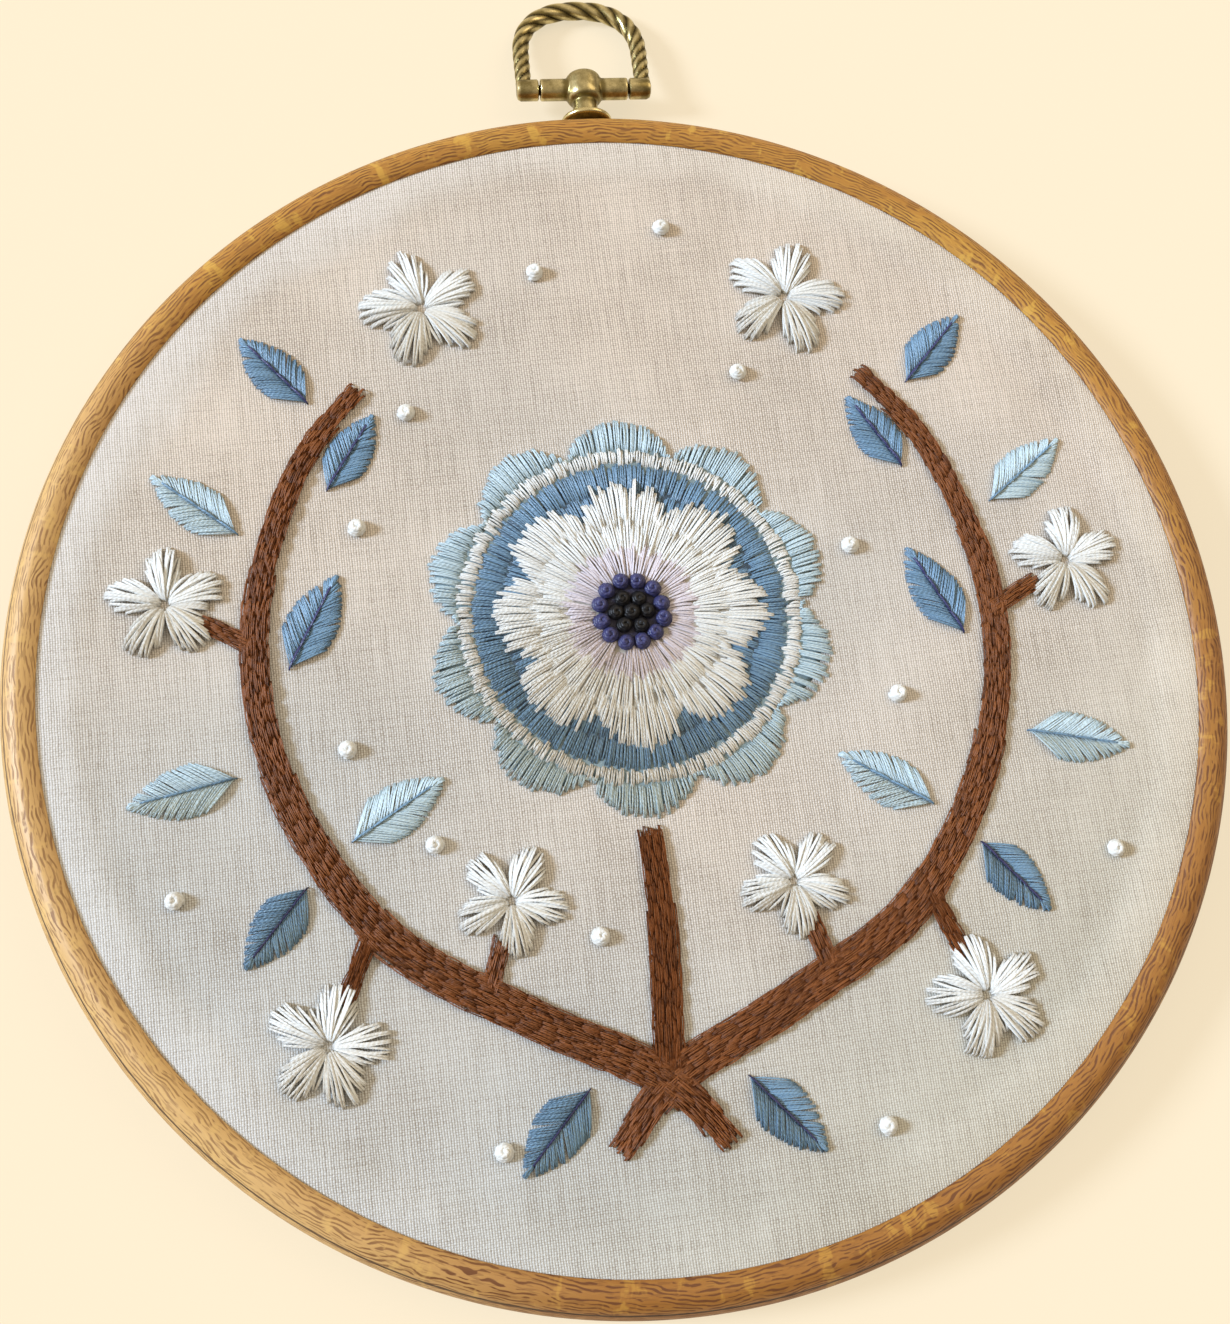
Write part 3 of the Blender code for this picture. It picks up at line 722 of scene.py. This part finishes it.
# stitches from start to end, each of so many plies laid side by side; base, lift, width and tone
# are numbers or arrays with a value for each stitch
def addStitches(batch, start, end, base, lift, width, tone, plies=2, bow=0.0):
    count = len(start)
    values = (base, lift, width, tone)
    base, lift, width, tone = (np.broadcast_to(np.asarray(v, float), count) for v in values)
    row, sink = stitchShape["row"], stitchLook["sink"]
    corner = row[stitchShape["loops"]]
    share = 0.5 - 0.5 * np.cos(np.linspace(0, math.pi, row.max() + 1))
    arch = np.sin(math.pi * share)
    ahead = unit(end - start)
    aside = np.column_stack([-ahead[:, 1], ahead[:, 0]])
    side = np.broadcast_to(np.column_stack([aside, np.zeros(count)])[:, None], (count, len(share), 3))
    length = np.linalg.norm(end - start, axis=1)
    for ply in range(plies):
        offset = (ply - (plies - 1) / 2) * width / plies * 0.95
        bend = rng.normal(0, 0.35, count) * bow if bow else np.zeros(count)
        sway = offset[:, None] * (0.55 + 0.45 * arch) + bend[:, None] * arch
        flat = start[:, None] + (end - start)[:, None] * share[:, None] + aside[:, None] * sway[..., None]
        jitter = lift * (1 + rng.normal(0, 0.07, count))
        height = base[:, None] - sink + (jitter[:, None] + sink) * arch ** stitchLook["plunge"]
        line = np.concatenate([flat, height[..., None]], axis=2)
        up = unit(np.cross(unit(np.gradient(line, axis=1)), side))
        up = np.where(up[..., 2:] < 0, -up, up)
        wide = (width[:, None] / plies * 0.66) * (0.62 + 0.38 * arch ** 0.5)
        wide = (wide * (1 + rng.normal(0, 0.05, (count, 1))))[:, row]
        places = tubePlaces(stitchShape, line, side, up, wide, wide * 0.9)
        alongUv = length[:, None] * share[corner] + rng.uniform(0, 1, count)[:, None]
        uv = np.stack([alongUv, np.broadcast_to(stitchShape["around"], alongUv.shape)], axis=2)
        shade = np.clip(tone + rng.normal(0, 0.09, count), 0, 1)[:, None] * (0.45 + 0.55 * arch ** 0.45)
        addCopies(batch, places, stitchShape, uv, shade[:, row])


# a small solid of one tone; its own x and y are its thread coordinates
def addSolid(batch, bm, tone):
    bmesh.ops.recalc_face_normals(bm, faces=bm.faces)
    bm.verts.index_update()
    places = np.array([v.co[:] for v in bm.verts])
    loops = np.array([loop.vert.index for f in bm.faces for loop in f.loops])
    shape = {"loops": loops, "sizes": np.array([len(f.verts) for f in bm.faces])}
    bm.free()
    addCopies(batch, places[None], shape, places[loops][None, :, :2] * 2.0, np.full((1, len(places)), tone))


# a low pad of the same thread under the stitches, so that no cloth shows between them; its low tone is
# painted shade in the gaps
def addPad(batch, outline, height):
    bm = bmesh.new()
    bottom = face = bm.faces.new([bm.verts.new((x, y, -0.1)) for x, y in outline])
    for size, rise in ((0.94, height * 0.75), (0.72 / 0.94, height)):
        before = face
        grown = bmesh.ops.extrude_face_region(bm, geom=[before])
        face = next(g for g in grown["geom"] if isinstance(g, bmesh.types.BMFace))
        verts = vertsOf(grown)
        middle = np.mean([v.co[:2] for v in verts], axis=0)
        for vert in verts:
            vert.co.x = middle[0] + (vert.co.x - middle[0]) * size
            vert.co.y = middle[1] + (vert.co.y - middle[1]) * size
            vert.co.z = rise
        if before is not bottom:
            bm.faces.remove(before)
    bmesh.ops.triangulate(bm, faces=[f for f in bm.faces if len(f.verts) > 4])
    addSolid(batch, bm, stitchLook["padShade"])


def threadPiece(name, batch, colour, *nodes):
    mesh = batchMesh(batch, name, (0, hoopY, stitchFloor))
    showPiece(name, mesh, threadMaterial(colour), "hoop", threadLook[colour][-1], *nodes)
    print(name, len(mesh.polygons), "faces")


def spread(first, last, pitch):
    return np.linspace(first, last, max(int(round((last - first) / pitch)) + 1, 2))


# Bloom: rings of petals worked in long and short stitch

bloomLook = {
    "x": 0.0, "y": 8.0,
    "outerR": 34.0, "outerPetals": 10, "outerNotch": 0.80,
    "innerR": 23.0, "innerPetals": 8, "innerNotch": 0.74,
    # layers of the petals: colour, inner and outer radius, narrowing at the root, pitch, base, lift,
    # thread, tone and raggedness; the first or last layer of a flower ends on its petals' own edge
    "outerFans": [("denim", 16.2, 21.8, 1.0, 0.66, 0.0, 0.72, 0.80, 0.72, 0.32),
                  ("denim", 21.0, 26.2, 1.0, 0.66, 0.0, 0.80, 0.80, 0.72, 0.32),
                  ("white", 26.0, 28.6, 1.0, 0.66, 0.0, 0.80, 0.80, 0.72, 0.32),
                  ("ice", 28.3, 31.0, 1.0, 0.66, 0.0, 0.80, 0.80, 0.72, 0.32)],
    "innerFans": [("white", 14.8, 23.0, 0.96, 0.64, 0.3, 1.12, 0.92, 0.86, 0.7),
                  ("white", 9.6, 17.2, 0.96, 0.60, 0.3, 1.16, 0.86, 0.88, 1.0),
                  ("lavender", 5.7, 12.4, 0.92, 0.50, 0.3, 1.14, 0.74, 0.86, 0.9)],
    # rings of knots in the middle: how many, their shift, the ring's radius, size, base and colour
    "knotRings": [(12, 0.5, 5.3, 1.45, 0.9, "navy"), (6, 0, 2.6, 1.4, 1.0, "black"),
                  (1, 0, 0, 1.5, 1.15, "black")],
    "knotTone": 0.8,
}


def petalEdge(angle, radius, petals, notch, turn=0.0):
    return radius * (notch + (1 - notch) * np.abs(np.sin(petals * (angle - turn) / 2)) ** 0.55)


# the outline of a flower round the bloom's middle, a circle where the notch is 1
def ringOutline(radius, petals=1, notch=1.0, turn=0.0, count=96):
    angles = np.linspace(0, 2 * math.pi, count, endpoint=False)
    return polar(petalEdge(angles, radius, petals, notch, turn), angles) + (bloomLook["x"], bloomLook["y"])


# one petal's stitches fan from a narrow root to a wide end, at radius outer or on the flower's own edge
def petalFan(batches, petals, index, turn, fan, edge):
    colour, inner, outer, narrowing, pitch, base, lift, thread, tone, ragged = fan
    width = 2 * math.pi / petals
    centre = turn + width * (index + 0.5)
    meanR = (inner + outer) / 2
    count = max(int(width * meanR / pitch), 3)
    across = np.linspace(-0.97, 0.97, count) + rng.normal(0, 0.012, count)
    angleOut = centre + across * width / 2
    angleIn = centre + across * width / 2 * narrowing
    far = (edge(angleOut) if edge else outer) + rng.normal(0, ragged, count)
    near = inner + rng.normal(0, ragged, count)
    middle = (bloomLook["x"], bloomLook["y"])
    dome = lift * (0.72 + 0.28 * np.sqrt(np.clip(1 - across ** 2, 0, 1)))
    # painted shade: the stitches at a petal's sides are darker
    addStitches(batches[colour], middle + polar(near, angleIn), middle + polar(far, angleOut), base, dome,
                thread, tone - 0.10 * np.abs(across), bow=0.25)


def makeBloom():
    look = bloomLook
    turn = math.pi / look["innerPetals"]
    outer = (look["outerR"], look["outerPetals"], look["outerNotch"])
    inner = (look["innerR"], look["innerPetals"], look["innerNotch"], turn)
    batches = {colour: newBatch() for colour in ("denim", "white", "ice")}
    addPad(batches["ice"], ringOutline(outer[0] - 0.9, *outer[1:]), 0.42)
    addPad(batches["denim"], ringOutline(26.2), 0.52)

    def outerEdge(angle):
        return petalEdge(angle, *outer) - 0.1

    def innerEdge(angle):
        return petalEdge(angle, *inner)

    for fan in look["outerFans"]:
        for index in range(look["outerPetals"]):
            petalFan(batches, look["outerPetals"], index, 0.0, fan, outerEdge if fan[0] == "ice" else None)
    threadPiece("bloomIce", batches["ice"], "ice", "bloom_outer_petals")
    threadPiece("bloomDenim", batches["denim"], "denim")
    threadPiece("bloomBand", batches["white"], "white")

    batches = {"white": newBatch(), "lavender": newBatch()}
    addPad(batches["white"], ringOutline(inner[0] - 0.9, *inner[1:]), 0.95)
    for index in range(look["innerPetals"]):
        for fan, edge in zip(look["innerFans"], (innerEdge, None, None)):
            petalFan(batches, look["innerPetals"], index, turn, fan, edge)
    threadPiece("bloomWhite", batches["white"], "white", "bloom_inner_petals")
    threadPiece("bloomPale", batches["lavender"], "lavender")


# French knots: the thread wound round the needle and pulled down

knotShape = tubeShape(30, 7)
knotLook = {"turns": 2.9, "thread": 0.30, "looseSize": 1.55, "looseTone": 0.95}


def addKnot(batch, x, y, size, base, tone):
    row = knotShape["row"]
    share = np.linspace(0, 1, row.max() + 1)
    spin = rng.uniform(0, 2 * math.pi)
    around = spin + share * knotLook["turns"] * 2 * math.pi
    coil = size * (0.74 - 0.50 * share ** 1.5) * (1 + rng.uniform(0.04, 0.14) * np.cos(around - spin * 3))
    coil = coil * np.clip((1.0 - share) / 0.10, 0, 1) ** 0.5
    height = base + size * (0.22 + 0.86 * share) - size * 0.30 * np.clip((share - 0.9) / 0.1, 0, 1)
    tilt = rng.normal(0, 0.10, 2) * size
    line = np.column_stack([x + coil * np.cos(around) + tilt[0] * share,
                            y + coil * np.sin(around) + tilt[1] * share, height])[None]
    tangent = unit(np.gradient(line, axis=1))
    outward = np.column_stack([polar(1.0, around), np.zeros(len(share))])[None]
    up = unit(np.cross(tangent, outward))
    thick = np.full((1, len(row)), size * knotLook["thread"])
    places = tubePlaces(knotShape, line, unit(np.cross(up, tangent)), up, thick, thick)
    length = knotLook["turns"] * 2 * math.pi * size * 0.6
    uv = np.column_stack([share[row[knotShape["loops"]]] * length, knotShape["around"]])
    # painted shade: the lower wraps of the knot are darker
    addCopies(batch, places, knotShape, uv, tone * (0.72 + 0.28 * share)[row])


def makeKnots():
    look = bloomLook
    batches = {"navy": newBatch(), "black": newBatch()}
    for count, shift, ringR, size, base, colour in look["knotRings"]:
        for k in range(count):
            a = 2 * math.pi * (k + shift) / count
            x, y = look["x"] + ringR * math.cos(a), look["y"] + ringR * math.sin(a)
            addKnot(batches[colour], x, y, size, base, look["knotTone"])
    addPad(batches["navy"], ringOutline(6.0, count=32), 1.2)
    threadPiece("bloomCentre", batches["navy"], "navy", "bloom_centre")
    threadPiece("bloomEye", batches["black"], "black")
    loose = newBatch()
    for x, y in knotPlaces:
        addKnot(loose, x, y, knotLook["looseSize"], 0.0, knotLook["looseTone"])
    nodes = [f"knot_{n + 1}" for n in range(len(knotPlaces))]
    threadPiece("looseKnots", loose, "white", *nodes)


# Blossoms: five padded petals, each a fan of thick straight stitches

blossomPlaces = [(31.5, 64.0, 10.5), (75.0, 13.5, 9.4), (51.5, -57.5, 9.6), (22.5, -37.5, 8.8)]
blossomLook = {"petals": 5, "threads": 9, "thread": 1.22, "lift": 1.15, "crown": 0.45, "spread": 0.74,
               "rounding": 0.34}


def addBlossom(batch, x, y, radius, turn):
    look = blossomLook
    count, petals = look["threads"], look["petals"]
    for petal in range(petals):
        centre = turn + 2 * math.pi * (petal + 0.5) / petals + rng.normal(0, 0.05)
        across = np.linspace(-1, 1, count) + rng.normal(0, 0.05, count)
        angle = centre + across * math.pi / petals * look["spread"] * rng.uniform(0.92, 1.08)
        order = np.clip(np.abs(across), 0, 1)
        reach = radius * (1.02 - look["rounding"] * order ** 2.3) * (1 + rng.normal(0, 0.03, count))
        start = (x, y) + polar(radius * (0.07 + 0.05 * order), centre + across * 0.5)
        lift = look["lift"] + look["crown"] * (1 - order ** 2) + rng.normal(0, 0.10, count)
        end = (x, y) + polar(reach, angle)
        # painted shade: the stitches at a petal's sides are darker
        addStitches(batch, start, end, 0.0, lift, look["thread"], 0.92 - 0.16 * order, bow=0.45)


def makeBlossoms():
    batch = newBatch()
    nodes = []
    for side, word in ((1, "right"), (-1, "left")):
        for number, (x, y, radius) in enumerate(blossomPlaces, 1):
            addBlossom(batch, side * x, y, radius, math.radians(90 + 17 * number * side))
            nodes.append(f"blossom_{word}_{number}")
    threadPiece("blossoms", batch, "white", *nodes)


# Leaves: two rows of slanting satin stitch that meet on a darker rib

leafPlaces = [(64.5, -15.5, -12, 17, 4.2, "ice"), (54.0, -33.5, -50, 15, 4.0, "denim"),
              (46.5, -26.5, 148, 17, 4.2, "ice"), (55.5, 2.0, 118, 17, 4.2, "denim"),
              (63.5, 25.0, 38, 17, 4.0, "ice"), (48.5, 32.0, 122, 15, 3.8, "denim"),
              (51.5, 47.5, 48, 16, 4.0, "denim"), (12.5, -67.0, -48, 16, 4.2, "denim")]
leafLook = {"pitch": 0.62, "thread": 0.72, "lift": 0.72, "slant": 0.30}


def leafHalf(share, halfWidth):
    return halfWidth * np.sin(math.pi * np.clip(share, 0, 1) ** 0.85) ** 0.8


def addLeaf(batches, x, y, degrees, length, halfWidth, colour):
    look = leafLook
    a = math.radians(degrees)
    along, aside = np.array([math.cos(a), math.sin(a)]), np.array([-math.sin(a), math.cos(a)])
    root = np.array([x, y])
    steps = spread(0.01, 0.90, look["pitch"] / length)
    for side in (-1, 1):
        tip = np.clip(steps + look["slant"] * (1 - steps * 0.65) + rng.normal(0, 0.012, len(steps)), 0, 1.0)
        out = np.maximum(leafHalf(tip, halfWidth), 0.12) + rng.normal(0, 0.10, len(steps))
        start = root + np.outer(steps * length, along) - np.outer(np.full(len(steps), side * 0.15), aside)
        end = root + np.outer(tip * length, along) + np.outer(side * out, aside)
        # painted light: one half of each leaf is a little lighter than the other
        tone = 0.74 + 0.06 * side
        addStitches(batches[colour], start, end, 0.0, look["lift"], look["thread"], tone, bow=0.15)
    ribs = batches["navy" if colour == "denim" else "denim"]
    at = np.linspace(-0.02, 0.86, 5)
    start = root + np.outer(at[:-1] * length, along)
    end = root + np.outer((at[1:] + 0.05) * length, along)
    addStitches(ribs, start, end, 0.15, look["lift"] + 0.10, 0.42, 0.75, plies=1)


def makeLeaves():
    batches = {colour: newBatch() for colour in ("ice", "denim", "navy")}
    nodes = {"ice": [], "denim": []}
    for side, word in ((1, "right"), (-1, "left")):
        for number, (x, y, degrees, length, halfWidth, colour) in enumerate(leafPlaces, 1):
            addLeaf(batches, side * x, y, degrees if side > 0 else 180 - degrees, length, halfWidth, colour)
            nodes[colour].append(f"leaf_{word}_{number}")
    threadPiece("leavesIce", batches["ice"], "ice", *nodes["ice"])
    threadPiece("leavesDenim", batches["denim"], "denim", *nodes["denim"])
    threadPiece("leafRibs", batches["navy"], "navy")


# Stems: rows of long overlapping stitches that follow the branch

stemLine = [(-9, -77, 3.6), (1, -66, 5.6), (20, -56, 6.2), (42, -42, 5.8), (57, -18, 5.0), (61, 8, 4.4),
            (54, 34, 3.8), (42.5, 50, 3.0)]
stalkLine = [(0, -26.9, 4.2), (0.8, -44, 4.6), (0, -65.5, 5.0)]
twigRoots = [None, (60, 5), (44, -40), (27, -52)]
stemLook = {"pitch": 0.40, "thread": 0.54, "stitch": 2.9, "lift": 0.62, "crown": 0.40,
            "padIn": 1.4, "padTop": 0.56, "padThick": 0.6, "padShade": 0.4}


# the middle of a stem, its width, the way across it, and the distance along it
def stemPath(points, mirror, perSpan):
    line = catmull([(mirror * x, y, w) for x, y, w in points], perSpan)
    ahead = unit(np.gradient(line[:, :2], axis=0))
    return line[:, :2], line[:, 2], np.column_stack([-ahead[:, 1], ahead[:, 0]]), distances(line[:, :2])


def addStem(batch, points, mirror, raised):
    look = stemLook
    middle, width, aside, along = stemPath(points, mirror, 12)
    total, widest = along[-1], width.max()
    rows = spread(-widest / 2 + 0.2, widest / 2 - 0.2, look["pitch"])

    def at(spots):
        t = np.clip(spots[:, 0], 0, total)
        values = [np.interp(t, along, way[:, k]) for way in (middle, aside) for k in (0, 1)]
        return np.column_stack(values[:2]) + np.column_stack(values[2:]) * spots[:, 1:]

    starts, ends, lifts, tones = [], [], [], []
    for row in rows:
        t = -rng.uniform(0, 1) * look["stitch"]
        while t < total - 0.8:
            length = look["stitch"] * rng.uniform(0.75, 1.3)
            first, last = max(t, rng.uniform(0, 1.0)), min(t + length * 1.22, total - rng.uniform(0, 1.0))
            half = np.interp((first + last) / 2, along, width) / 2
            if last - first > 1.3 and abs(row) < half + 0.05:
                wobble = rng.normal(0, 0.09, 2)
                starts.append((first, row + wobble[0]))
                ends.append((last, row + wobble[1]))
                crown = look["crown"] * math.sqrt(max(0.0, 1 - (row / half) ** 2))
                lifts.append(look["lift"] + crown + raised)
                tones.append(rng.uniform(0.50, 1.0))
            t += length
    addStitches(batch, at(np.array(starts)), at(np.array(ends)), 0.0, lifts, look["thread"], tones, bow=0.12)


# a flat band under the stitches, with its ends drawn in; its low tone is painted shade in the gaps
def stemPad(batch, points, mirror):
    look = stemLook
    middle, width, aside, along = stemPath(points, mirror, 6)
    inside = (along > look["padIn"]) & (along < along[-1] - look["padIn"])
    shift = aside * (width / 2 - 0.45)[:, None]
    bm = bmesh.new()
    left, right = ([bm.verts.new((*place, look["padTop"])) for place in edge[inside]]
                   for edge in (middle + shift, middle - shift))
    for k in range(len(left) - 1):
        bm.faces.new((left[k], right[k], right[k + 1], left[k + 1]))
    grown = bmesh.ops.extrude_face_region(bm, geom=bm.faces[:])
    bmesh.ops.translate(bm, verts=vertsOf(grown), vec=(0, 0, -look["padThick"]))
    addSolid(batch, bm, look["padShade"])


def makeStems():
    # the stems on the right with the stalk, and the ones on the left, are a piece each
    batches = {1: newBatch(), -1: newBatch()}
    sprays = [(stemLine, 1, 0.0), (stemLine, -1, 0.12), (stalkLine, 1, 0.05)]
    for root, (x, y, radius) in zip(twigRoots, blossomPlaces):
        if root:
            way = np.array([x, y]) - root
            length = np.linalg.norm(way)
            tip = root + way / length * (length - radius * 0.62)
            middle = (root + tip) / 2
            twig = [(*root, 3.0), (*middle, 2.8), (*tip, 2.4)]
            sprays += [(twig, 1, 0.0), (twig, -1, 0.0)]
    for points, mirror, raised in sprays:
        stemPad(batches[mirror], points, mirror)
        addStem(batches[mirror], points, mirror, raised)
    threadPiece("stemStitchesRight", batches[1], "brown", "stems")
    threadPiece("stemStitchesLeft", batches[-1], "brown")


# Studio: pale floor, cool window light from the left, warm light from the right

studioLook = {
    "floorHalf": 30000, "floor": (0.26, 0.22, 0.17), "floorGlow": (0.69, 0.61, 0.452),
    "sky": (1.0, 0.84, 0.63), "skyDark": (0.36, 0.29, 0.21), "skyStrength": 0.86,
    # name, strength, colour, degrees round from +X, degrees up, and the size of the sun in degrees
    "lights": [("window", 4.1, (0.66, 0.80, 1.0), 172.0, 30.0, 14.0),
               ("warmFill", 0.68, (1.0, 0.80, 0.54), 20.0, 45.0, 40.0)],
}
cameraLook = {
    "lens": 43.5,
    "sensor": 36.0,
    "place": (-30.7, -62.45, 251.8),   # from the middle of the cloth
    "turnX": -14.28, "turnY": 5.08, "turnZ": -4.52,
}


def makeFloor():
    bm = bmesh.new()
    bmesh.ops.create_grid(bm, x_segments=1, y_segments=1, size=studioLook["floorHalf"])
    mesh = meshFrom(bm, "floor")
    mesh.transform(Matrix.Scale(mm, 4))
    material, wire, shader = newMaterial("cream paper")
    # a light table: most of its light comes from below, which softens the shadows
    fixed(shader, {"Base Color": (*studioLook["floor"], 1), "Roughness": 0.95, "Specular IOR Level": 0.1,
                   "Emission Color": (*studioLook["floorGlow"], 1), "Emission Strength": 1.0})
    mesh.materials.append(material)
    placed("floor", mesh)


def makeLights():
    look = studioLook
    for name, strength, colour, turn, height, angle in look["lights"]:
        light = bpy.data.lights.new(name, "SUN")
        light.energy = strength
        light.color = colour
        light.angle = math.radians(angle)
        a, e = math.radians(turn), math.radians(height)
        way = Vector((math.cos(a) * math.cos(e), math.sin(a) * math.cos(e), math.sin(e)))
        placed(name, light).matrix_world = way.to_track_quat("Z", "Y").to_matrix().to_4x4()
    # the sky is bright overhead and on the window's side, and darker low on the other sides
    world = bpy.data.worlds.new("studio")
    world.use_nodes = True
    wire = Wire(world.node_tree)
    back = world.node_tree.nodes["Background"]
    x, y, z = axes(wire, wire.node("ShaderNodeTexCoord"))
    glow = step(wire, y * 0.55 - x * 0.55 + z * 0.70, -0.30, 0.80)
    plug(mixColour(wire, glow, look["skyDark"], look["sky"]), back, "Color")
    back.inputs["Strength"].default_value = look["skyStrength"]
    bpy.context.scene.world = world


def makeCamera():
    look = cameraLook
    camera = bpy.data.cameras.new("photoView")
    camera.lens = look["lens"]
    camera.sensor_width = look["sensor"]
    camera.clip_start = 0.01
    turns = [Matrix.Rotation(math.radians(look["turn" + axis]), 3, axis) for axis in "XYZ"]
    turn = turns[2] @ (turns[0] @ turns[1]).transposed()
    place = (Vector(look["place"]) + Vector((0, hoopY, clothTop))) * mm
    seat = placed("photoView", camera)
    seat.matrix_world = Matrix.Translation(place) @ turn.to_4x4()
    bpy.context.scene.camera = seat


makeCamera()
makeFloor()
makeLights()
print("studio ready")
makeOuterHoop()
makeInnerHoop()
print("hoops done")
makeCloth()
print("cloth done")
makeBail()
makeFitting()
print("hanger done")
makeBloom()
makeKnots()
makeBlossoms()
makeLeaves()
makeStems()
print("stitches done")

bpy.context.scene.view_settings.view_transform = "Standard"
